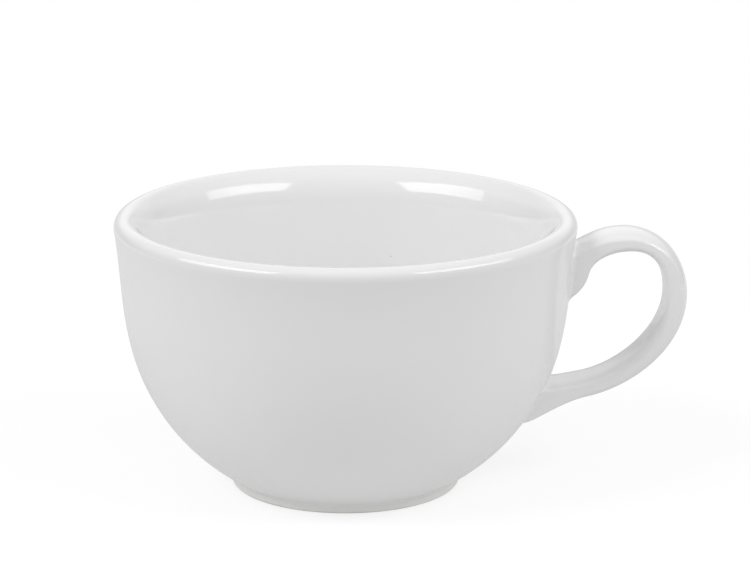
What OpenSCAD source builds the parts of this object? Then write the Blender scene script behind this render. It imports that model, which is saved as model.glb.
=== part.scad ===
// Cappuccino cup of glazed white porcelain. A turned bowl with a rounded, slightly flared lip
// stands on a low foot ring, and a cast strap handle is luted to it with slip at two seams.
// Millimetres, +Z up. The foot stands on z = 0 about the bowl's axis and the handle points to +X.

/* [Bowl] */
// Diameter across the lip
rim_d = 100; // [94:0.2:108]
// Height from the table to the top of the lip
cup_h = 60; // [56:1:66]
// Thickness of the wall at the shoulder and below it
wall_t = 7.4; // [6.6:0.1:8]
// Radius of the rounded lip
lip_r = 2.3; // [1.8:0.1:2.8]
// Radius of the inside's flare into the lip
lip_flare_r = 12; // [9:0.5:16]
// Lean of the inside of the wall, in degrees from upright
wall_deg = 8; // [6.6:0.2:9.2]
// Lean of the wall at the lip, in degrees from upright
lip_deg = 8; // [6.6:0.2:10]
// Lean of the straight band below the flare, in degrees from upright
band_deg = 4.9; // [3.2:0.1:6]
// Lean where the shoulder runs into the belly, in degrees from upright
belly_deg = 11.7; // [10:0.1:14]
// Radius of the flare below the lip
flare_r = 120; // [80:2:150]
// Height of the straight band
band_h = 8.4; // [6:0.2:11]
// Radius of the shoulder
shoulder_r = 82; // [66:2:100]
// Thickness of the floor
floor_t = 5; // [4:0.2:7]
// Radius of the curve from the floor into the wall
floor_fillet_r = 15; // [10:1:20]
// Rise of the domed underside inside the foot ring
base_dome = 0.8; // [0.4:0.1:1.4]

/* [Foot ring] */
// Outer diameter of the foot ring
foot_d = 50; // [45:0.2:53]
// Height of the foot ring
foot_h = 2; // [1.6:0.1:3]
// Radial width of the foot ring
foot_w = 4.4; // [3.4:0.2:6]
// Radius on the two edges that meet the table
foot_edge_r = 0.6; // [0.3:0.1:0.9]

/* [Handle loop] */
// Reach of the handle beyond the lip
handle_reach = 24.4; // [21:0.2:27]
// Drop from the lip to the top of the handle
handle_drop = 3.2; // [2.2:0.2:5]
// Height of the end of the handle's tail above the table
tail_rise = 13; // [11.4:0.2:16.4]
// Height of the handle's lower end where it meets the bowl
tail_h = 9; // [7.4:0.2:12.4]
// Drop from the top of the handle to where its crown meets the bowl
crown_drop = 3.6; // [2.6:0.2:5]

/* [Handle strap] */
// Width of the strap
strap_w = 12; // [10:0.2:14]
// Width of the strap where it meets the bowl
terminal_w = 12.4; // [12:0.2:16]
// Thickness of the strap at the top of the loop
strap_top_t = 4.2; // [3.4:0.1:5]
// Thickness of the strap at its outermost point
strap_side_t = 5; // [3.8:0.1:5.6]
// Thickness of the strap at the bottom of the loop
strap_low_t = 4.3; // [3.6:0.1:5]
// Height of the rounded crown along the outside of the strap
crown_h = 1.9; // [1.2:0.1:2.4]
// Depth of the rounding on the strap's inner edges
inner_edge_h = 1; // [0.5:0.1:1.4]

/* [Heel and seams] */
// Drop from the top of the handle to the lower end of the heel
heel_drop = 14.8; // [13:0.2:17]
// Drop from the top of the handle to the throat above the heel
throat_drop = 9.6; // [7.6:0.1:10.4]
// Thickness of the heel off the bowl at the throat
heel_t = 3.2; // [2.6:0.1:4]
// Thickness of the slip between the handle and the bowl
slip_t = 0.6; // [0.4:0.1:0.9]
// Size of the fillet of slip round each seam
bead_r = 1.6; // [1.2:0.1:2.2]

/* [Hidden] */
$fn = 240;
lip_n = 18;

// Radii of the rim and the foot
rim_r = rim_d / 2;
foot_r = foot_d / 2;
foot_in_r = foot_r - foot_w;

// Outward normal, as [radius, height], of a wall that leans out by a degrees
function lean(a) = [cos(a), -sin(a)];

// Outer face of the bowl from the lip down: lip, flare, straight band, shoulder and belly.
// Each arc starts on the tangent of the one above, and the belly is the arc that ends at the foot.
lip_c = [rim_r - lip_r, cup_h - lip_r];
lip_p = lip_c + lip_r * lean(lip_deg);
flare_c = lip_p + flare_r * lean(lip_deg);
flare_p = flare_c - flare_r * lean(band_deg);
band_p = flare_p - band_h * [tan(band_deg), 1];
shoulder_c = band_p - shoulder_r * lean(band_deg);
shoulder_p = shoulder_c + shoulder_r * lean(belly_deg);
foot_p = [foot_r, foot_h];
to_foot = foot_p - shoulder_p;
belly_r = (to_foot * to_foot) / (-2 * (lean(belly_deg) * to_foot));
belly_c = shoulder_p - belly_r * lean(belly_deg);

// Inside of the bowl: a flare off the lip, a straight wall that thickens downwards, the outside's
// arcs moved in by the wall's thickness, and the curve into the floor. The flare leaves the lip at
// the lean that brings it onto the straight wall below.
wall_in_p = shoulder_c + (shoulder_r - wall_t) * lean(wall_deg);
lip_flare_run = lip_flare_r - (lip_c - wall_in_p) * lean(wall_deg);
lip_flare_deg = wall_deg + acos(min(lip_flare_run / (lip_flare_r - lip_r), 1));
lip_flare_c = lip_c + (lip_flare_r - lip_r) * lean(lip_flare_deg);
floor_z = foot_h + floor_t;
belly_in_r = belly_r - wall_t;
fillet_r = min(floor_fillet_r, (belly_in_r + belly_c.y - floor_z) / 2);
fillet_z = floor_z + fillet_r;
fillet_run = sqrt(pow(belly_in_r - fillet_r, 2) - pow(belly_c.y - fillet_z, 2));
fillet_c = [belly_c.x + fillet_run, fillet_z];
fillet_p = belly_c + belly_in_r * (fillet_c - belly_c) / (belly_in_r - fillet_r);

// Sphere that domes the underside up to the foot ring
dome_r = (pow(foot_in_r, 2) + pow(base_dome, 2)) / (2 * base_dome);

// Radius of the bowl's outer face at height z
function bowl_r(z) =
    z > flare_p.y ? flare_c.x - sqrt(pow(flare_r, 2) - pow(z - flare_c.y, 2)) :
    z > band_p.y ? band_p.x + (z - band_p.y) * tan(band_deg) :
    z > shoulder_p.y ? shoulder_c.x + sqrt(pow(shoulder_r, 2) - pow(z - shoulder_c.y, 2)) :
    belly_c.x + sqrt(pow(belly_r, 2) - pow(z - belly_c.y, 2));

// Outward normal of the bowl at a point [radius, height] near its outer face
function bowl_lean(q) =
    q.y > flare_p.y ? (flare_c - q) / norm(flare_c - q) :
    q.y > band_p.y ? lean(band_deg) :
    q.y > shoulder_p.y ? (q - shoulder_c) / norm(q - shoulder_c) :
    (q - belly_c) / norm(q - belly_c);

// Distance of a point from the bowl's outer face, below zero inside it
function bowl_gap(p) =
    let (q = [norm([p.x, p.y]), p.z])
    q.y > flare_p.y ? flare_r - norm(flare_c - q) :
    q.y > band_p.y ? (q - band_p) * lean(band_deg) :
    q.y > shoulder_p.y ? norm(q - shoulder_c) - shoulder_r :
    norm(q - belly_c) - belly_r;

function bowl_normal(p) =
    let (q = [norm([p.x, p.y]), p.z], n = bowl_lean(q))
    [n.x * p.x / q.x, n.x * p.y / q.x, n.y];

// Points along an arc, by the lean of the wall from one end to the other. A negative radius
// puts the centre on the outside.
arc_step = 2;

function arc(c, r, from, to) =
    let (n = max(ceil(abs(to - from) / arc_step), 1))
    [for (i = [0:n]) c + r * lean(from + (to - from) * i / n)];

foot_deg = atan2(belly_c.y - foot_p.y, foot_p.x - belly_c.x);
fillet_deg = atan2(belly_c.y - fillet_p.y, fillet_p.x - belly_c.x);
dome_deg = asin(foot_in_r / dome_r);
dome_c = [0, foot_h + base_dome - dome_r];

outer_face = concat(
    arc(belly_c, belly_r, foot_deg, belly_deg),
    arc(shoulder_c, shoulder_r, belly_deg, band_deg),
    arc(flare_c, -flare_r, band_deg, lip_deg)
);
lip_turn = 180 + lip_deg - lip_flare_deg;
lip = [for (i = [1:lip_n - 1]) lip_c + lip_r * lean(lip_deg - i * lip_turn / lip_n)];
inner_face = concat(
    arc(lip_flare_c, -lip_flare_r, lip_flare_deg, wall_deg),
    arc(shoulder_c, shoulder_r - wall_t, wall_deg, belly_deg),
    arc(belly_c, belly_in_r, belly_deg, fillet_deg),
    arc(fillet_c, fillet_r, fillet_deg, 90),
    [[0, floor_z]]
);
underside = arc(dome_c, dome_r, -90, dome_deg - 90);

// The bowl's outer body as a solid to cut against
module bowl_body() rotate_extrude() polygon(concat([[0, foot_h]], outer_face, [[0, lip_p.y]]));

module bowl() {
    color("white") rotate_extrude() polygon(concat(outer_face, lip, inner_face, underside));
}

module foot_ring() {
    flat_w = foot_w - 2 * foot_edge_r;
    color("linen") rotate_extrude() {
        translate([foot_in_r, foot_edge_r]) square([foot_w, foot_h - foot_edge_r]);
        translate([foot_in_r + foot_edge_r, 0]) square([flat_w, foot_edge_r]);
        for (x = [foot_in_r + foot_edge_r, foot_r - foot_edge_r])
            translate([x, foot_edge_r]) circle(foot_edge_r);
    }
}

// Handle in its own plane, as [x, z]. Its outer and inner curves run from the upper seam
// over the top, round the outermost point and back along the bottom to the lower seam.
top_z = cup_h - handle_drop;
handle_h = top_z - tail_rise;
side_drop_share = 0.33;
low_drop_share = 0.85;
outer_top_share = 0.43;
inner_top_share = 0.49;
low_reach_share = 0.12;
throat_share = 0.36;
crown_deg = 27;
heel_deg = 35;
throat_deg = 79;
low_deg = -167;
loop_end_deg = -176;
tail_deg = -160;
root_l = wall_t;

// How far each curve's ends pull along their tangents, as shares of the chord
outer_pull_shares = [[0.37, 0.39], [0.4, 0.41], [0.37, 0.33], [0.5, 0.15]];
inner_pull_shares = [[0.38, 0.36], [0.29, 0.46], [0.43, 0.42], [0.35, 0.32], [0.38, 0.31]];

function heading(a) = [cos(a), sin(a)];

function on_bowl(z) = [bowl_r(z), z];

function span(p, a, q, b, pull_shares) =
    let (l = norm(q - p))
    [p, p + l * pull_shares[0] * heading(a), q - l * pull_shares[1] * heading(b), q];

function along(b, t) =
    pow(1 - t, 3) * b[0] + 3 * t * pow(1 - t, 2) * b[1] + 3 * t * t * (1 - t) * b[2] + t * t * t * b[3];

// Outer curve: crown at the bowl, top, outermost point, bottom, end of the tail
outer_knots = [
    on_bowl(top_z - crown_drop),
    [rim_r + outer_top_share * handle_reach, top_z],
    [rim_r + handle_reach, top_z - side_drop_share * handle_h],
    [rim_r + low_reach_share * handle_reach, top_z - low_drop_share * handle_h],
    on_bowl(tail_rise)
];
outer_degs = [crown_deg, 0, -90, low_deg, tail_deg];
outer_spans = [for (i = [0:3])
    span(outer_knots[i], outer_degs[i], outer_knots[i + 1], outer_degs[i + 1], outer_pull_shares[i])];

// Inner curve: end of the heel, throat, top, outermost point, bottom, loop's end at the bowl
inner_knots = [
    on_bowl(top_z - heel_drop),
    on_bowl(top_z - throat_drop) + [heel_t, 0],
    [rim_r + inner_top_share * handle_reach, top_z - strap_top_t],
    outer_knots[2] - [strap_side_t, 0],
    outer_knots[3] + strap_low_t * heading(low_deg - 90),
    on_bowl(tail_rise + tail_h)
];
inner_degs = [heel_deg, throat_deg, 0, -90, low_deg, loop_end_deg];
inner_spans = [for (i = [0:4])
    span(inner_knots[i], inner_degs[i], inner_knots[i + 1], inner_degs[i + 1], inner_pull_shares[i])];

// Both curves by station s: 0 and 7 lie in the wall, 1 and 6 on the bowl, 2 at the throat,
// 3 at the top, 4 at the outermost point and 5 at the bottom
function outer_at(s) =
    s < 1 ? outer_knots[0] - (1 - s) * root_l * heading(crown_deg) :
    s < 2 ? along(outer_spans[0], (s - 1) * throat_share) :
    s < 3 ? along(outer_spans[0], throat_share + (s - 2) * (1 - throat_share)) :
    s < 6 ? along(outer_spans[floor(s) - 2], s - floor(s)) :
    outer_knots[4] + (s - 6) * root_l * heading(tail_deg);

function inner_at(s) =
    s < 1 ? inner_knots[0] - (1 - s) * root_l * heading(heel_deg) :
    s < 6 ? along(inner_spans[floor(s) - 1], s - floor(s)) :
    inner_knots[5] + (s - 6) * root_l * heading(loop_end_deg);

// The strap widens from the throat and from the bottom of the loop into its two terminals
function ease(t) = let (u = min(max(t, 0), 1)) u * u * (3 - 2 * u);

function width_at(s) = strap_w + (terminal_w - strap_w) * (ease((2.4 - s) / 1.4) + ease(s - 5));

// Section of the strap: a flat inner face with rounded edges, upright sides and a crowned outer face
crown_power = 2 / 2.3;
edge_power = 2 / 3;

function signed(x, p) = sign(x) * pow(abs(x), p);

function strap_point(s, a) =
    let (
        o = outer_at(s),
        i = inner_at(s),
        h = norm(o - i),
        crown = sin(a) >= 0,
        y = width_at(s) / 2 * signed(cos(a), crown ? crown_power : edge_power),
        v = crown ? h - crown_h + crown_h * signed(sin(a), crown_power)
                  : inner_edge_h + inner_edge_h * signed(sin(a), edge_power),
        p = i + (o - i) * v / h
    )
    [p.x, y, p.y];

// Rings of points joined into a closed skin, with a fan from a given point over each end
section_n = 32;
section_degs = [for (k = [0:section_n - 1]) k * 360 / section_n];

module skin(rings, start, end) {
    n = section_n;
    m = len(rings);
    points = concat([for (r = rings) each r], [start, end]);
    sides = [for (j = [0:m - 2]) for (k = [0:n - 1])
        let (a = j * n + k, b = j * n + (k + 1) % n)
        each [[a, b, b + n], [a, b + n, a + n]]];
    first = [for (k = [0:n - 1]) [(k + 1) % n, k, m * n]];
    last = [for (k = [0:n - 1]) [(m - 1) * n + k, (m - 1) * n + (k + 1) % n, m * n + 1]];
    polyhedron(points, concat(sides, first, last), convexity = 6);
}

// Station between two others at which the strap's line at angle a stands d off the bowl
function seam_station(a, d, near, far, steps = 30) =
    let (s = (near + far) / 2)
    steps == 0 ? s :
    bowl_gap(strap_point(s, a)) < d ? seam_station(a, d, s, far, steps - 1) :
    seam_station(a, d, near, s, steps - 1);

// Stations of all the strap's lines at a height d off the bowl, by its upper or its lower end
upper_ends = [0, 2];
lower_ends = [7, 5];

function seam_stations(d, ends) = [for (a = section_degs) seam_station(a, d, ends[0], ends[1])];

function ring(stations) = [for (k = [0:section_n - 1]) strap_point(stations[k], section_degs[k])];

function level(s) = [for (a = section_degs) s];

function between(list_a, list_b, t) = list_a + (list_b - list_a) * t;

function middle(pts) = [for (c = [0:2]) [for (p = pts) p[c]] * [for (p = pts) 1 / len(pts)]];

// Middle of a seam, lifted to stand d off the bowl
function seam_middle(d, ends) =
    let (p = middle(ring(seam_stations(d, ends))))
    p + (d - bowl_gap(p)) * bowl_normal(p);

// The strap's lines end on the bowl's own curve, a layer of slip away from it, so the handle's
// two end faces are mitred to the bowl. Between them the rings turn into plain cross sections.
seat_rings = [for (ends = [upper_ends, lower_ends]) ring(seam_stations(slip_t, ends))];
edge_stations = [for (ends = [upper_ends, lower_ends]) seam_stations(bead_r, ends)];
terminal_n = 9;
loop_counts = [12, 16, 18];

module handle() {
    color("whitesmoke") skin(
        concat(
            [seat_rings[0]],
            [for (j = [0:terminal_n - 1]) ring(between(edge_stations[0], level(2), j / terminal_n))],
            [for (i = [0:2]) for (j = [0:loop_counts[i] - 1]) ring(level(2 + i + j / loop_counts[i]))],
            [for (j = [0:terminal_n]) ring(between(level(5), edge_stations[1], j / terminal_n))],
            [seat_rings[1]]
        ),
        seam_middle(slip_t, upper_ends),
        seam_middle(slip_t, lower_ends)
    );
}

// The seam at a height d off the bowl, spread by g over the bowl's face
function spread_seam(d, g, ends) =
    let (n = section_n, seam = ring(seam_stations(d, ends)))
    [for (k = [0:n - 1])
        let (
            run = seam[(k + 1) % n] - seam[(k + n - 1) % n],
            side = cross(run, bowl_normal(seam[k])) * sign(ends[1] - ends[0])
        )
        seam[k] + g * side / norm(side)];

// Slip between a handle end and the bowl. It fills the seat and is wiped to a hollow fillet
// round the strap, which runs out just under the bowl's face and is cut off there.
bead_degs = [72, 56, 42, 30, 20];
bead_sink = bead_r / 5;

function bead_step(a) = bead_r * [1 - sin(a), 1 - cos(a)];

module slip_joint(ends) {
    upper = ends[0] < ends[1];
    toe_deg = bead_degs[len(bead_degs) - 1];
    toe = bead_step(toe_deg);
    steps = concat(
        [for (a = bead_degs) bead_step(a)],
        [toe + (toe.y + bead_sink) * [1 / tan(toe_deg), -1]]
    );
    rings = concat(
        [seat_rings[upper ? 0 : 1], ring(edge_stations[upper ? 0 : 1])],
        [for (p = steps) spread_seam(p.y, p.x, ends)]
    );
    m = len(rings);
    seat = seam_middle(slip_t, ends);
    under = middle(rings[m - 1]);
    difference() {
        if (upper) skin([for (j = [m - 1:-1:0]) rings[j]], under, seat);
        else skin(rings, seat, under);
        bowl_body();
    }
}

module upper_slip_joint() color("gainsboro") slip_joint(upper_ends);

module lower_slip_joint() color("gainsboro") slip_joint(lower_ends);

bowl();
foot_ring();
handle();
upper_slip_joint();
lower_slip_joint();
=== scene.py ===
import math

import bmesh
import bpy
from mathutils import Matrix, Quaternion, Vector


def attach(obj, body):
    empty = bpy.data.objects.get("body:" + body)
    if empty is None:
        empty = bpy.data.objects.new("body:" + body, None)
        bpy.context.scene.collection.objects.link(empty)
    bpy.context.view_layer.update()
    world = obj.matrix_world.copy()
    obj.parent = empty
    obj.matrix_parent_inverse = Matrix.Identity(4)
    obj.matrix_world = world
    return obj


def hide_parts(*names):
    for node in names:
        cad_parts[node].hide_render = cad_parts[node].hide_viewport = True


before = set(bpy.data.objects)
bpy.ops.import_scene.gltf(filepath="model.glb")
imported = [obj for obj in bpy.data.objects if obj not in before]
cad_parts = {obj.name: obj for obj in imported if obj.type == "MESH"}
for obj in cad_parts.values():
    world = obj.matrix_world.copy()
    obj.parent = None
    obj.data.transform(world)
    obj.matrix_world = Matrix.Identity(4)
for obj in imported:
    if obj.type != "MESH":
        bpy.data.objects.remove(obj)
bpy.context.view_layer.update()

# Bowl
# The turned body of the cup: hard white porcelain, jiggered over a plaster mould, trimmed, glazed
# inside and out and fired. Everything else is stuck to it. Its profile is a chain of tangent arcs
# in [radius, height], in millimetres, which Geometry Nodes lathe.
MM = 0.001
RIM_R, CUP_H, LIP_R, WALL_T = 50.0, 60.0, 2.3, 7.4
LIP_DEG, BAND_DEG, BELLY_DEG, WALL_DEG = 8.0, 4.9, 11.7, 8.0
FLARE_R, BAND_H, SHOULDER_R, LIP_FLARE_R = 120.0, 8.4, 82.0, 12.0
FLOOR_T, FLOOR_FILLET_R, BASE_DOME = 5.0, 15.0, 0.8
FOOT_R, FOOT_IN_R, FOOT_H = 25.0, 20.6, 2.0
# Greatest distance between the points of the profile, and on its flats, its inner flare and its lip
STEP, FLAT_STEP, LIP_FLARE_STEP, LIP_STEP = 0.8, 1.6, 0.4, 0.16


def lean(deg):
    """Outward normal of a wall that leans out by deg degrees from upright."""
    return Vector((math.cos(math.radians(deg)), -math.sin(math.radians(deg))))


def lean_of(v):
    """Lean whose outward normal is along v, in degrees."""
    return math.degrees(math.atan2(-v.y, v.x))


def arc(centre, radius, start, end, step=STEP):
    """Points of an arc from one lean to another; a negative radius puts them against the leans' normals."""
    n = max(2, math.ceil(abs(radius * math.radians(end - start)) / step))
    return [centre + radius * lean(start + (end - start) * i / n) for i in range(n + 1)]


def line(p, q, step=STEP):
    """Points of a straight line from p to q."""
    n = max(1, math.ceil((q - p).length / step))
    return [p.lerp(q, i / n) for i in range(n + 1)]


# Outer face from the lip down, each arc on the tangent of the one above
lip_c = Vector((RIM_R - LIP_R, CUP_H - LIP_R))
lip_p = lip_c + LIP_R * lean(LIP_DEG)
flare_c = lip_p + FLARE_R * lean(LIP_DEG)
flare_p = flare_c - FLARE_R * lean(BAND_DEG)
band_p = flare_p - BAND_H * Vector((math.tan(math.radians(BAND_DEG)), 1))
shoulder_c = band_p - SHOULDER_R * lean(BAND_DEG)
shoulder_p = shoulder_c + SHOULDER_R * lean(BELLY_DEG)
foot_p = Vector((FOOT_R, FOOT_H))
to_foot = foot_p - shoulder_p
belly_r = to_foot.dot(to_foot) / (-2 * lean(BELLY_DEG).dot(to_foot))
belly_c = shoulder_p - belly_r * lean(BELLY_DEG)

# Inner face: the flare off the lip, the straight wall, the outside's arcs moved in, and the floor
wall_in_p = shoulder_c + (SHOULDER_R - WALL_T) * lean(WALL_DEG)
lip_flare_run = LIP_FLARE_R - (lip_c - wall_in_p).dot(lean(WALL_DEG))
lip_flare_deg = WALL_DEG + math.degrees(math.acos(lip_flare_run / (LIP_FLARE_R - LIP_R)))
lip_flare_c = lip_c + (LIP_FLARE_R - LIP_R) * lean(lip_flare_deg)
floor_z = FOOT_H + FLOOR_T
belly_in_r = belly_r - WALL_T
fillet_z = floor_z + FLOOR_FILLET_R
fillet_run = math.sqrt((belly_in_r - FLOOR_FILLET_R) ** 2 - (belly_c.y - fillet_z) ** 2)
fillet_c = Vector((belly_c.x + fillet_run, fillet_z))
fillet_deg = lean_of(fillet_c - belly_c)

# Underside: a shallow dome inside the foot ring
dome_r = (FOOT_IN_R ** 2 + BASE_DOME ** 2) / (2 * BASE_DOME)
dome_c = Vector((0, FOOT_H + BASE_DOME - dome_r))
dome_deg = math.degrees(math.asin(FOOT_IN_R / dome_r))

bowl_profile = (
    arc(dome_c, dome_r, -90, dome_deg - 90, FLAT_STEP)
    + arc(belly_c, belly_r, lean_of(foot_p - belly_c), BELLY_DEG)
    + arc(shoulder_c, SHOULDER_R, BELLY_DEG, BAND_DEG)
    + line(band_p, flare_p)
    + arc(flare_c, -FLARE_R, BAND_DEG, LIP_DEG)
    + arc(lip_c, LIP_R, LIP_DEG, lip_flare_deg - 180, LIP_STEP)
    + arc(lip_flare_c, -LIP_FLARE_R, lip_flare_deg, WALL_DEG, LIP_FLARE_STEP)
    + line(lip_flare_c - LIP_FLARE_R * lean(WALL_DEG), wall_in_p)
    + arc(shoulder_c, SHOULDER_R - WALL_T, WALL_DEG, BELLY_DEG)
    + arc(belly_c, belly_in_r, BELLY_DEG, fillet_deg)
    + arc(fillet_c, FLOOR_FILLET_R, fillet_deg, 90)
    + line(Vector((fillet_c.x, floor_z)), Vector((0, floor_z)), FLAT_STEP)
)


def add_node(tree, kind, inputs=None, **settings):
    """One node with its settings, and its inputs by name or number: a socket links, a value is set."""
    node = tree.nodes.new(kind)
    for name, value in settings.items():
        setattr(node, name, value)
    for key, value in (inputs or {}).items():
        if isinstance(value, bpy.types.NodeSocket):
            tree.links.new(value, node.inputs[key])
        else:
            node.inputs[key].default_value = value
    return node


def srgb(code):
    """Linear colour of an sRGB hex code."""
    parts = [int(code[i:i + 2], 16) / 255 for i in (1, 3, 5)]
    return [c / 12.92 if c <= 0.04045 else ((c + 0.055) / 1.055) ** 2.4 for c in parts] + [1]


def emptied(owner):
    """Node tree of a material, world or lamp, with nothing in it."""
    owner.use_nodes = True
    owner.node_tree.nodes.clear()
    return owner.node_tree


def ramp(tree, value, low, high, start, end, **settings):
    """Value that goes from start to end as another goes from low to high, and stays there beyond."""
    limits = {0: value, 1: low, 2: high, 3: start, 4: end}
    return add_node(tree, "ShaderNodeMapRange", limits, **settings).outputs[0]


def colour_between(tree, share, a, b):
    """Colour from a to b by a share from 0 to 1."""
    return add_node(tree, "ShaderNodeMix", {0: share, 6: a, 7: b}, data_type="RGBA").outputs[2]


# White glaze: a clear glassy coat over a white body. The tone drifts faintly over centimetres, the
# surface waves a little like any fired glaze, and a few pinprick specks show.
DRIFT_SIZE, CELL_SIZE, WAVE_SIZE, WAVE_H = 30 * MM, 15 * MM, 7 * MM, 0.04 * MM
SPECK_R, SPECK_FADE_R, CLEAN_SHARE = 0.15 * MM, 0.3 * MM, 0.6
glaze = bpy.data.materials.new("glazed_white_porcelain")
tree = emptied(glaze)
coords = add_node(tree, "ShaderNodeTexCoord").outputs["Object"]
drift = add_node(tree, "ShaderNodeTexNoise", {"Vector": coords, "Scale": 1 / DRIFT_SIZE, "Detail": 2})
tone = colour_between(tree, drift.outputs["Fac"], srgb("#EFEFEF"), srgb("#F2F2F2"))
# Four cells in ten hold a faint speck, 0.3 mm across with a soft edge, and few of those reach the surface
cells = add_node(tree, "ShaderNodeTexVoronoi", {"Vector": coords, "Scale": 1 / CELL_SIZE, "Randomness": 1})
speck = ramp(tree, cells.outputs["Distance"], SPECK_R / CELL_SIZE, SPECK_FADE_R / CELL_SIZE, 1, 0)
pick = add_node(tree, "ShaderNodeSeparateColor", {0: cells.outputs["Color"]})
some = add_node(tree, "ShaderNodeMath", {0: pick.outputs[0], 1: CLEAN_SHARE}, operation="GREATER_THAN")
speck = add_node(tree, "ShaderNodeMath", {0: speck, 1: some.outputs[0]}, operation="MULTIPLY")
paint = colour_between(tree, speck.outputs[0], tone, srgb("#DEDBD6"))
peel = add_node(tree, "ShaderNodeTexNoise", {"Vector": coords, "Scale": 1 / WAVE_SIZE, "Detail": 1.5})
wave = add_node(tree, "ShaderNodeBump", {"Height": peel.outputs["Fac"], "Strength": 0.25, "Distance": WAVE_H})
sheen = ramp(tree, drift.outputs["Fac"], 0.3, 0.7, 0.05, 0.08)
surface = add_node(tree, "ShaderNodeBsdfPrincipled", {
    "Base Color": paint, "Roughness": sheen, "IOR": 1.54, "Normal": wave.outputs[0],
})
add_node(tree, "ShaderNodeOutputMaterial", {"Surface": surface.outputs[0]})

# The lathe: a profile swept round a circle as wide as the rim, welded on the axis
SEGMENTS, WELD = 288, 0.001
lathe = bpy.data.node_groups.new("lathe", "GeometryNodeTree")
lathe.interface.new_socket("Profile", in_out="INPUT", socket_type="NodeSocketObject")
lathe.interface.new_socket("Turning radius", in_out="INPUT", socket_type="NodeSocketFloat")
lathe.interface.new_socket("Segments", in_out="INPUT", socket_type="NodeSocketInt")
lathe.interface.new_socket("Finish", in_out="INPUT", socket_type="NodeSocketMaterial")
lathe.interface.new_socket("Geometry", in_out="OUTPUT", socket_type="NodeSocketGeometry")
sizes = add_node(lathe, "NodeGroupInput").outputs
path = add_node(lathe, "GeometryNodeCurvePrimitiveCircle", {
    "Resolution": sizes["Segments"], "Radius": sizes["Turning radius"],
})
drawn = add_node(lathe, "GeometryNodeObjectInfo", {"Object": sizes["Profile"]})
swept = add_node(lathe, "GeometryNodeCurveToMesh", {
    "Curve": path.outputs[0], "Profile Curve": drawn.outputs["Geometry"],
})
welded = add_node(lathe, "GeometryNodeMergeByDistance", {"Geometry": swept.outputs[0], "Distance": WELD * MM})
smooth = add_node(lathe, "GeometryNodeSetShadeSmooth", {"Geometry": welded.outputs[0]})
real = add_node(lathe, "GeometryNodeRealizeInstances", {"Geometry": smooth.outputs[0]})
done = add_node(lathe, "GeometryNodeSetMaterial", {"Geometry": real.outputs[0], "Material": sizes["Finish"]})
add_node(lathe, "NodeGroupOutput", {"Geometry": done.outputs[0]})


def face_outwards(mesh):
    """Turn all faces of a closed mesh outwards."""
    bm = bmesh.new()
    bm.from_mesh(mesh)
    bmesh.ops.recalc_face_normals(bm, faces=bm.faces)
    bm.to_mesh(mesh)
    bm.free()


def turned(name, profile, finish, closed=False):
    """A plain mesh, lathed about the axis from a profile in millimetres."""
    points = [p for i, p in enumerate(profile) if i == 0 or (p - profile[i - 1]).length > WELD / 10]
    curve = bpy.data.curves.new(name + "_profile", "CURVE")
    spline = curve.splines.new("POLY")
    spline.points.add(len(points) - 1)
    spline.use_cyclic_u = closed
    for knot, p in zip(spline.points, points):
        knot.co = ((p.x - RIM_R) * MM, -p.y * MM, 0, 1)
    drawing = bpy.data.objects.new(name + "_profile", curve)
    host = bpy.data.objects.new(name, bpy.data.meshes.new(name))
    for o in (drawing, host):
        bpy.context.scene.collection.objects.link(o)
    modifier = host.modifiers.new("lathe", "NODES")
    modifier.node_group = lathe
    values = {"Profile": drawing, "Turning radius": RIM_R * MM, "Segments": SEGMENTS, "Finish": finish}
    for item in lathe.interface.items_tree:
        if item.name in values:
            modifier[item.identifier] = values[item.name]
    mesh = bpy.data.meshes.new_from_object(host.evaluated_get(bpy.context.evaluated_depsgraph_get()))
    host.modifiers.clear()
    host.data = mesh
    bpy.data.objects.remove(drawing)
    face_outwards(mesh)
    return host


bowl = turned("porcelain_bowl", bowl_profile, glaze)
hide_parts("bowl")
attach(bowl, "root")

# Foot ring
# The low ring the cup stands on, trimmed from the same clay. Its side is glazed and runs into the
# belly in a small hollow; the standing edge is wiped bare before firing and left as matt biscuit.
FOOT_EDGE_R, FOOT_HOLLOW_R, TUCK = 0.6, 0.9, 0.5
SIDE_STEP, EDGE_STEP = 0.4, 0.08
side_x = FOOT_R + FOOT_HOLLOW_R
hollow_run = math.sqrt((belly_r + FOOT_HOLLOW_R) ** 2 - (side_x - belly_c.x) ** 2)
hollow_c = Vector((side_x, belly_c.y - hollow_run))
toe = belly_c + belly_r * (hollow_c - belly_c).normalized()
# The top of the ring is tucked into the bowl's clay, out of sight
tucked = [
    toe + 0.3 * (belly_c - toe).normalized() + Vector((0.3, 0.2)),
    Vector((FOOT_R - TUCK, FOOT_H + TUCK)),
    Vector((FOOT_IN_R + TUCK, FOOT_H + 0.4)),
]
foot_profile = (
    arc(Vector((FOOT_R - FOOT_EDGE_R, FOOT_EDGE_R)), FOOT_EDGE_R, 90, 0, EDGE_STEP)
    + arc(hollow_c, -FOOT_HOLLOW_R, 0, lean_of(toe - belly_c), EDGE_STEP)
    + tucked
    + line(Vector((FOOT_IN_R, FOOT_H + 0.1)), Vector((FOOT_IN_R, FOOT_EDGE_R)), SIDE_STEP)
    + arc(Vector((FOOT_IN_R + FOOT_EDGE_R, FOOT_EDGE_R)), FOOT_EDGE_R, 180, 90, EDGE_STEP)
    + line(Vector((FOOT_IN_R + FOOT_EDGE_R, 0)), Vector((FOOT_R - FOOT_EDGE_R, 0)), SIDE_STEP)
)

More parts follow.
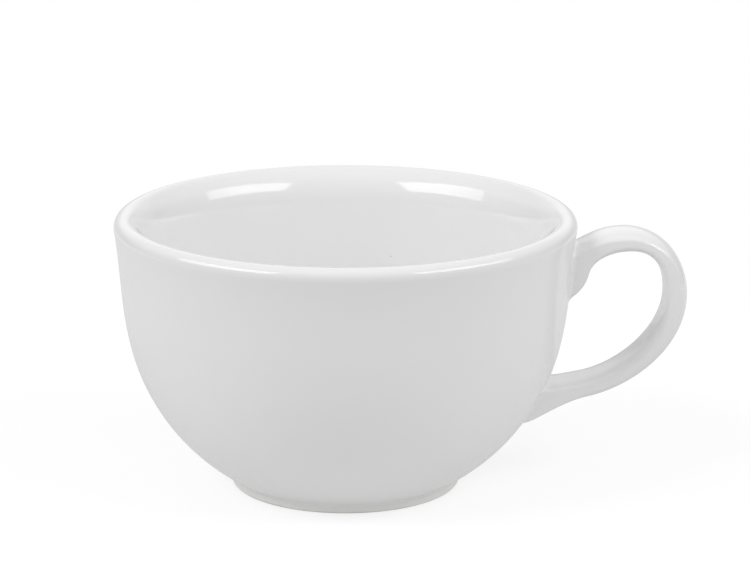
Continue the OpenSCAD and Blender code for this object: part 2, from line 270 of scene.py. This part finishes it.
# Wiped foot: glaze on the side, and bare gritty biscuit below a wavering line 0.1 to 0.6 mm up
WAVER_SIZE, WAVER_H, LINE_H, LINE_FADE = 6 * MM, 0.5 * MM, 0.1 * MM, 0.08 * MM
GRIT_SIZE, GRIT_H = 0.5 * MM, 0.08 * MM
foot_finish = bpy.data.materials.new("wiped_porcelain_foot")
tree = emptied(foot_finish)
coords = add_node(tree, "ShaderNodeTexCoord").outputs["Object"]
height = add_node(tree, "ShaderNodeSeparateXYZ", {0: coords}).outputs["Z"]
waver = add_node(tree, "ShaderNodeTexNoise", {"Vector": coords, "Scale": 1 / WAVER_SIZE, "Detail": 3})
edge = add_node(tree, "ShaderNodeMath", {
    0: waver.outputs["Fac"], 1: WAVER_H, 2: LINE_H,
}, operation="MULTIPLY_ADD")
above = add_node(tree, "ShaderNodeMath", {0: height, 1: edge.outputs[0]}, operation="SUBTRACT")
bare = ramp(tree, above.outputs[0], -LINE_FADE, LINE_FADE, 1, 0)
grit = add_node(tree, "ShaderNodeTexNoise", {"Vector": coords, "Scale": 1 / GRIT_SIZE, "Detail": 3})
biscuit = colour_between(tree, grit.outputs["Fac"], srgb("#CFCAC1"), srgb("#E2DED6"))
paint = colour_between(tree, bare, srgb("#F0F0EF"), biscuit)
rough = ramp(tree, bare, 0, 1, 0.07, 0.75)
tooth = add_node(tree, "ShaderNodeMath", {0: grit.outputs["Fac"], 1: bare}, operation="MULTIPLY")
relief = add_node(tree, "ShaderNodeBump", {"Height": tooth.outputs[0], "Strength": 0.6, "Distance": GRIT_H})
surface = add_node(tree, "ShaderNodeBsdfPrincipled", {
    "Base Color": paint, "Roughness": rough, "IOR": 1.5, "Normal": relief.outputs[0],
})
add_node(tree, "ShaderNodeOutputMaterial", {"Surface": surface.outputs[0]})

foot = turned("foot_ring_body", foot_profile, foot_finish, closed=True)
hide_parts("foot_ring")
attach(foot, "root")

# Handle
# A strap cast in a two-part mould, trimmed while damp and stuck to the bowl: flat inside, crowned
# outside, with a heel under its upper end and a tail under its lower one. Its outer and inner curves
# are chains of cubic spans in the plane y = 0, and a D section is lofted between them.
REACH, HANDLE_DROP, TAIL_RISE, TAIL_H = 24.1, 3.2, 13.5, 9.0
CROWN_DROP, HEEL_DROP, THROAT_DROP, HEEL_T = 3.6, 15.0, 9.7, 3.4
STRAP_W, TERMINAL_W, STRAP_TOP_T, STRAP_SIDE_T, STRAP_LOW_T = 12.0, 12.4, 4.5, 5.0, 4.4
STRAP_CROWN_H, INNER_EDGE_H = 1.9, 1.9
# Places of the outer curve's top, outermost point and bottom and of the inner curve's top, as shares of
# the reach or the height
TOP_SHARE, SIDE_DROP, LOW_SHARE, LOW_DROP, INNER_TOP_SHARE = 0.43, 0.334, 0.12, 0.86, 0.49
# The strap's heading at its bottom, the throat's place on the first outer span, and the station where
# the heel has narrowed to the strap's width
LOW_DEG, THROAT_SHARE, HEEL_END = -167, 0.36, 2.4
top_z = CUP_H - HANDLE_DROP
handle_h = top_z - TAIL_RISE


def heading(deg):
    """Direction in the handle's plane, in degrees up from +X."""
    return Vector((math.cos(math.radians(deg)), math.sin(math.radians(deg))))


def bowl_arc(z):
    """Centre, radius and side of the arc of the bowl's outer face at a height; no centre on the band."""
    if z > flare_p.y:
        return flare_c, FLARE_R, -1
    if z > band_p.y:
        return None, 0, 1
    return (shoulder_c, SHOULDER_R, 1) if z > shoulder_p.y else (belly_c, belly_r, 1)


def on_bowl(z):
    """Point of the bowl's outer face at a height."""
    centre, radius, side = bowl_arc(z)
    if centre is None:
        return Vector((band_p.x + (z - band_p.y) * math.tan(math.radians(BAND_DEG)), z))
    return Vector((centre.x + side * math.sqrt(radius ** 2 - (z - centre.y) ** 2), z))


def off_bowl(p):
    """Distance of a point from the bowl's outer face, and that face's outward normal there."""
    q = Vector((math.hypot(p.x, p.y), p.z))
    centre, radius, side = bowl_arc(p.z)
    if centre is None:
        normal = lean(BAND_DEG)
        gap = (q - band_p).dot(normal)
    else:
        normal = side * (q - centre).normalized()
        gap = side * ((q - centre).length - radius)
    return gap, Vector((normal.x * p.x / q.x, normal.x * p.y / q.x, normal.y))


def spans(knots, degs, pulls):
    """Cubic spans through knots, each end pulled along its heading by a share of the chord."""
    made = []
    for i, (a, b) in enumerate(pulls):
        p, q = knots[i], knots[i + 1]
        chord = (q - p).length
        made.append((p, p + chord * a * heading(degs[i]), q - chord * b * heading(degs[i + 1]), q))
    return made


def along(span, t):
    """Point of a cubic span at t, from 0 to 1."""
    p, q, r, s = span
    return (1 - t) ** 3 * p + 3 * t * (1 - t) ** 2 * q + 3 * t * t * (1 - t) * r + t ** 3 * s


# Outer curve: crown at the bowl, top, outermost point, bottom, end of the tail
outer_knots = [
    on_bowl(top_z - CROWN_DROP),
    Vector((RIM_R + TOP_SHARE * REACH, top_z)),
    Vector((RIM_R + REACH, top_z - SIDE_DROP * handle_h)),
    Vector((RIM_R + LOW_SHARE * REACH, top_z - LOW_DROP * handle_h)),
    on_bowl(TAIL_RISE),
]
outer_degs = [27, 0, -90, LOW_DEG, -176]
outer_pulls = [(0.37, 0.39), (0.4, 0.41), (0.37, 0.33), (0.5, 0.16)]
outer_spans = spans(outer_knots, outer_degs, outer_pulls)
# Inner curve: end of the heel, throat, top, outermost point, bottom, end of the loop
inner_knots = [
    on_bowl(top_z - HEEL_DROP),
    on_bowl(top_z - THROAT_DROP) + Vector((HEEL_T, 0)),
    Vector((RIM_R + INNER_TOP_SHARE * REACH, top_z - STRAP_TOP_T)),
    outer_knots[2] - Vector((STRAP_SIDE_T, 0)),
    outer_knots[3] + STRAP_LOW_T * heading(LOW_DEG - 90),
    on_bowl(TAIL_RISE + TAIL_H),
]
inner_degs = [35, 79, 0, -90, LOW_DEG, -179]
inner_pulls = [(0.38, 0.36), (0.29, 0.46), (0.43, 0.42), (0.35, 0.32), (0.3, 0.5)]
inner_spans = spans(inner_knots, inner_degs, inner_pulls)


def strap_ends(s):
    """Outer and inner point at station s: 1 and 6 lie on the bowl, 2 at the throat, 3 at the top."""
    if s < 1:
        return (outer_knots[0] - (1 - s) * WALL_T * heading(outer_degs[0]),
                inner_knots[0] - (1 - s) * WALL_T * heading(inner_degs[0]))
    if s >= 6:
        return (outer_knots[4] + (s - 6) * WALL_T * heading(outer_degs[4]),
                inner_knots[5] + (s - 6) * WALL_T * heading(inner_degs[5]))
    i = int(s)
    inner = along(inner_spans[i - 1], s - i)
    if s < 3:
        t = (s - 1) * THROAT_SHARE if s < 2 else THROAT_SHARE + (s - 2) * (1 - THROAT_SHARE)
        return along(outer_spans[0], t), inner
    return along(outer_spans[i - 2], s - i), inner


def ease(t):
    """Smooth step from 0 to 1."""
    t = min(max(t, 0), 1)
    return t * t * (3 - 2 * t)


# The D section as lines: share of the half width, share of the strap's thickness, and an offset in mm
CROWN_POWER, EDGE_POWER = 2 / 2.3, 2 / 3
CROWN_N, SIDE_N, INNER_N = 48, 6, 48
section = []
for i in range(CROWN_N + 1):
    a = math.pi * i / CROWN_N
    across, rise = math.cos(a), math.sin(math.pi * min(i, CROWN_N - i) / CROWN_N) ** CROWN_POWER
    section.append((math.copysign(abs(across) ** CROWN_POWER, across), 1, (rise - 1) * STRAP_CROWN_H))
for i in range(1, SIDE_N):
    t = 1 - i / SIDE_N
    section.append((-1, t, INNER_EDGE_H * (1 - t) - STRAP_CROWN_H * t))
for i in range(INNER_N + 1):
    a = math.pi * i / INNER_N
    across, fall = -math.cos(a), math.sin(math.pi * min(i, INNER_N - i) / INNER_N) ** EDGE_POWER
    section.append((math.copysign(abs(across) ** EDGE_POWER, across), 0, (1 - fall) * INNER_EDGE_H))
for i in range(1, SIDE_N):
    t = i / SIDE_N
    section.append((1, t, INNER_EDGE_H * (1 - t) - STRAP_CROWN_H * t))


def strap_point(s, place):
    """Point of one line of the section at station s; the strap widens over its heel and its tail."""
    across, share, offset = place
    outer, inner = strap_ends(s)
    width = STRAP_W + (TERMINAL_W - STRAP_W) * (ease((HEEL_END - s) / (HEEL_END - 1)) + ease(s - 5))
    p = inner + (outer - inner) * (share + offset / (outer - inner).length)
    return Vector((p.x, across * width / 2, p.y))


def seam(gap, ends):
    """Station of each line of the section where it stands gap off the bowl, by one end of the strap."""
    halvings = 36
    stations = []
    for place in section:
        near, far = ends
        for _ in range(halvings):
            s = (near + far) / 2
            near, far = (s, far) if off_bowl(strap_point(s, place))[0] < gap else (near, s)
        stations.append(near)
    return stations


def ring(stations):
    """Points of the section's lines, each at its own station."""
    return [strap_point(s, place) for s, place in zip(stations, section)]


def blend(a, b, t):
    """Items of a moved towards those of b by a share t."""
    return [p + (q - p) * t for p, q in zip(a, b)]


def middle(points):
    """Mean of the points."""
    return sum(points, Vector((0, 0, 0))) / len(points)


def lofted(name, rings, start, end, finish, creased=()):
    """A closed mesh over rings of points in millimetres, fanned to a point at each end."""
    n = len(rings[0])
    points = [p * MM for r in rings for p in r] + [start * MM, end * MM]
    last = (len(rings) - 1) * n
    faces = [(j * n + k, j * n + (k + 1) % n, (j + 1) * n + (k + 1) % n, (j + 1) * n + k)
             for j in range(len(rings) - 1) for k in range(n)]
    faces += [((k + 1) % n, k, len(points) - 2) for k in range(n)]
    faces += [(last + k, last + (k + 1) % n, len(points) - 1) for k in range(n)]
    mesh = bpy.data.meshes.new(name)
    mesh.from_pydata(points, [], faces)
    mesh.shade_smooth()
    face_outwards(mesh)
    for e in mesh.edges:
        a, b = (v // n for v in e.vertices)
        e.use_edge_sharp = a == b and a in creased
    mesh.materials.append(finish)
    piece = bpy.data.objects.new(name, mesh)
    bpy.context.scene.collection.objects.link(piece)
    return piece


# The strap shows up to where its fillet begins, and its hidden end seats on the slip, drawn in by a share
SLIP_T, FILLET_R, SEAT_INSET = 0.6, 0.9, 0.04
END_N, LOOP_N = 24, 44
UPPER, LOWER = (0, 2), (7, 5)
edges = [seam(FILLET_R, UPPER), seam(FILLET_R, LOWER)]
seats = [ring(seam(SLIP_T, UPPER)), ring(seam(SLIP_T, LOWER))]
seats = [blend(r, [middle(r)] * len(r), SEAT_INSET) for r in seats]
level = [[s] * len(section) for s in range(8)]
handle_rings = (
    [seats[0]]
    + [ring(blend(edges[0], level[2], j / END_N)) for j in range(END_N)]
    + [ring(blend(level[i], level[i + 1], j / LOOP_N)) for i in (2, 3, 4) for j in range(LOOP_N)]
    + [ring(blend(level[5], edges[1], j / END_N)) for j in range(END_N + 1)]
    + [seats[1]]
)
handle = lofted("strap_handle", handle_rings, middle(seats[0]), middle(seats[1]), glaze,
                creased=(0, 1, len(handle_rings) - 2, len(handle_rings) - 1))
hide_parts("handle")
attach(handle, "root")

# Slip joints
# Liquid clay that glues each end of the handle to the bowl, wiped to a hollow fillet round the strap
# and covered by the glaze, which pools there. Each line of the section runs on as one cubic span from
# the strap's surface to the bowl's, tangent to both, and dives just under the bowl's face.
FILLET_N, FILLET_PULL = 16, 0.55
# How far the fillet's edge dips under the bowl's face, and how far the hidden underside runs on and dips
EDGE_DIP, UNDER_RUN, UNDER_DIP, MIDDLE_DIP = 0.03, 0.3, 0.1, 0.3


def fillet_rings(ends, stations):
    """Rings of a fillet from the strap's cut end to the bowl, and one more just under the bowl's face."""
    starts = ring(stations)
    feet = ring(seam(0, ends))
    rings = [[] for _ in range(FILLET_N + 2)]
    for k, (start, foot_point) in enumerate(zip(starts, feet)):
        normal = off_bowl(foot_point)[1]
        run = feet[(k + 1) % len(feet)] - feet[k - 1]
        away = run.cross(normal).normalized()
        if away.dot(foot_point - middle(feet)) < 0:
            away.negate()
        end = foot_point + FILLET_R * away
        gap, normal = off_bowl(end)
        end = end - (gap + EDGE_DIP) * normal
        away = (away - away.dot(normal) * normal).normalized()
        span = (start, start + FILLET_PULL * (foot_point - start), end - FILLET_PULL * FILLET_R * away, end)
        for j in range(FILLET_N + 1):
            rings[j].append(along(span, (1 - math.cos(math.pi * j / FILLET_N)) / 2))
        rings[-1].append(end + UNDER_RUN * away - UNDER_DIP * normal)
    return rings


for name, node, ends, stations, seat in (
    ("upper_handle_joint", "upper_slip_joint", UPPER, edges[0], seats[0]),
    ("lower_handle_joint", "lower_slip_joint", LOWER, edges[1], seats[1]),
):
    rings = [seat] + fillet_rings(ends, stations)
    under = middle(rings[-1])
    gap, normal = off_bowl(under)
    under = under - (gap + MIDDLE_DIP) * normal
    joint = lofted(name, rings, middle(seat), under, glaze, creased=(0, 1, len(rings) - 1))
    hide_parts(node)
    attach(joint, "root")

# Studio
# A white table that fades into a white room, two wide softboxes at the front left and front right as
# the glaze reflects them, and a camera at the photograph's place with its frame shifted, not turned.
TABLE_R, FADE_FROM, FADE_TO, TABLE_GLOW = 0.6, 0.08, 0.24, 0.39
WHITE = (1, 1, 1, 1)
scene = bpy.context.scene
floor_mesh = bpy.data.meshes.new("table")
bm = bmesh.new()
bmesh.ops.create_circle(bm, cap_ends=True, segments=96, radius=TABLE_R)
bm.to_mesh(floor_mesh)
bm.free()
floor = bpy.data.objects.new("table", floor_mesh)
scene.collection.objects.link(floor)
# White table: paper that takes the cup's shadow, and glows so that the camera sees it white. It glows
# less for the rays that light the cup, and further off it only glows.
white = bpy.data.materials.new("white_table")
tree = emptied(white)
coords = add_node(tree, "ShaderNodeTexCoord").outputs["Object"]
away = add_node(tree, "ShaderNodeVectorMath", {0: coords}, operation="LENGTH")
fade = ramp(tree, away.outputs["Value"], FADE_FROM, FADE_TO, 0, 1, interpolation_type="SMOOTHSTEP")
rays = add_node(tree, "ShaderNodeLightPath")
paper = add_node(tree, "ShaderNodeBsdfDiffuse", {"Color": srgb("#A0A0A0")})
lift = ramp(tree, rays.outputs["Is Camera Ray"], 0, 1, TABLE_GLOW, 0.70)
lit = add_node(tree, "ShaderNodeEmission", {"Color": WHITE, "Strength": lift})
near = add_node(tree, "ShaderNodeAddShader", {0: paper.outputs[0], 1: lit.outputs[0]})
unseen = ramp(tree, rays.outputs["Is Glossy Ray"], 0, 1, TABLE_GLOW, 0.77)
level_out = add_node(tree, "ShaderNodeMix", {0: rays.outputs["Is Camera Ray"], 2: unseen, 3: 1.0})
room = add_node(tree, "ShaderNodeEmission", {"Color": WHITE, "Strength": level_out.outputs[0]})
mixed = add_node(tree, "ShaderNodeMixShader", {0: fade, 1: near.outputs[0], 2: room.outputs[0]})
add_node(tree, "ShaderNodeOutputMaterial", {"Surface": mixed.outputs[0]})
floor_mesh.materials.append(white)

# The room: white to the camera and even for diffuse light. The glaze reflects a dim room low down, a
# lit ceiling that leans back, and a lit wall behind the cup.
LOW_ROOM, CEILING, BACK_WALL, EVEN = 0.12, 0.52, 0.56, 0.605
CEILING_FACING = (0, 0.383, 0.924)
world = bpy.data.worlds.new("studio")
scene.world = world
tree = emptied(world)
direction = add_node(tree, "ShaderNodeTexCoord").outputs["Generated"]
over = add_node(tree, "ShaderNodeVectorMath", {0: direction, 1: CEILING_FACING}, operation="DOT_PRODUCT")
ceiling = ramp(tree, over.outputs["Value"], 0.48, 0.58, LOW_ROOM, CEILING)
behind = add_node(tree, "ShaderNodeSeparateXYZ", {0: direction}).outputs["Y"]
wall = ramp(tree, behind, 0.7, 0.95, 0, BACK_WALL)
backdrop = add_node(tree, "ShaderNodeMath", {0: ceiling, 1: wall}, operation="ADD")
rays = add_node(tree, "ShaderNodeLightPath")
seen = add_node(tree, "ShaderNodeMath", {
    0: rays.outputs["Is Camera Ray"], 1: rays.outputs["Is Transmission Ray"],
}, operation="MAXIMUM")
glow = add_node(tree, "ShaderNodeMix", {0: rays.outputs["Is Glossy Ray"], 2: EVEN, 3: backdrop.outputs[0]})
level_out = add_node(tree, "ShaderNodeMix", {0: seen.outputs[0], 2: glow.outputs[0], 3: 1.0})
background = add_node(tree, "ShaderNodeBackground", {"Color": WHITE, "Strength": level_out.outputs[0]})
add_node(tree, "ShaderNodeOutputWorld", {"Surface": background.outputs[0]})

# Each softbox faces the cup from a metre away, at its azimuth off the front and its elevation, rolled, in
# degrees. It dims to half at its end away from the camera, as its reflection in the far wall shows.
AIMED_AT = Vector((0, 0, 0.03))
for name, azimuth, elevation, roll, wide, high, radiance in (
    ("softbox_right", 70, 40, -15, 0.84, 0.30, 4.15),
    ("softbox_left", -70, 40, 15, 0.84, 0.36, 4.15),
):
    lamp = bpy.data.lights.new(name, "AREA")
    lamp.shape = "RECTANGLE"
    lamp.size, lamp.size_y = wide, high
    lamp.energy = radiance * math.pi * wide * high
    tree = emptied(lamp)
    place = add_node(tree, "ShaderNodeNewGeometry").outputs["Parametric"]
    across = add_node(tree, "ShaderNodeSeparateXYZ", {0: place}).outputs["X"]
    far_end = float(azimuth > 0)
    fall = ramp(tree, across, far_end, 0.5, 0.5, 1)
    glow = add_node(tree, "ShaderNodeEmission", {"Strength": fall})
    add_node(tree, "ShaderNodeOutputLight", {0: glow.outputs[0]})
    source = bpy.data.objects.new(name, lamp)
    a, e = math.radians(azimuth), math.radians(elevation)
    aim = Vector((math.sin(a) * math.cos(e), -math.cos(a) * math.cos(e), math.sin(e)))
    source.location = AIMED_AT + aim
    rolled = Quaternion((0, 0, 1), math.radians(roll))
    source.rotation_euler = (aim.to_track_quat("Z", "Y") @ rolled).to_euler()
    scene.collection.objects.link(source)

camera = bpy.data.cameras.new("camera")
camera.sensor_fit, camera.sensor_width, camera.lens = "HORIZONTAL", 36, 146.286
camera.shift_x, camera.shift_y = 0.03927, 0.08809
viewer = bpy.data.objects.new("camera", camera)
viewer.location = (0, -0.64066, 0.21229)
viewer.rotation_euler = (math.radians(74.112), 0, 0)
scene.collection.objects.link(viewer)
scene.camera = viewer
scene.view_settings.view_transform = "Standard"
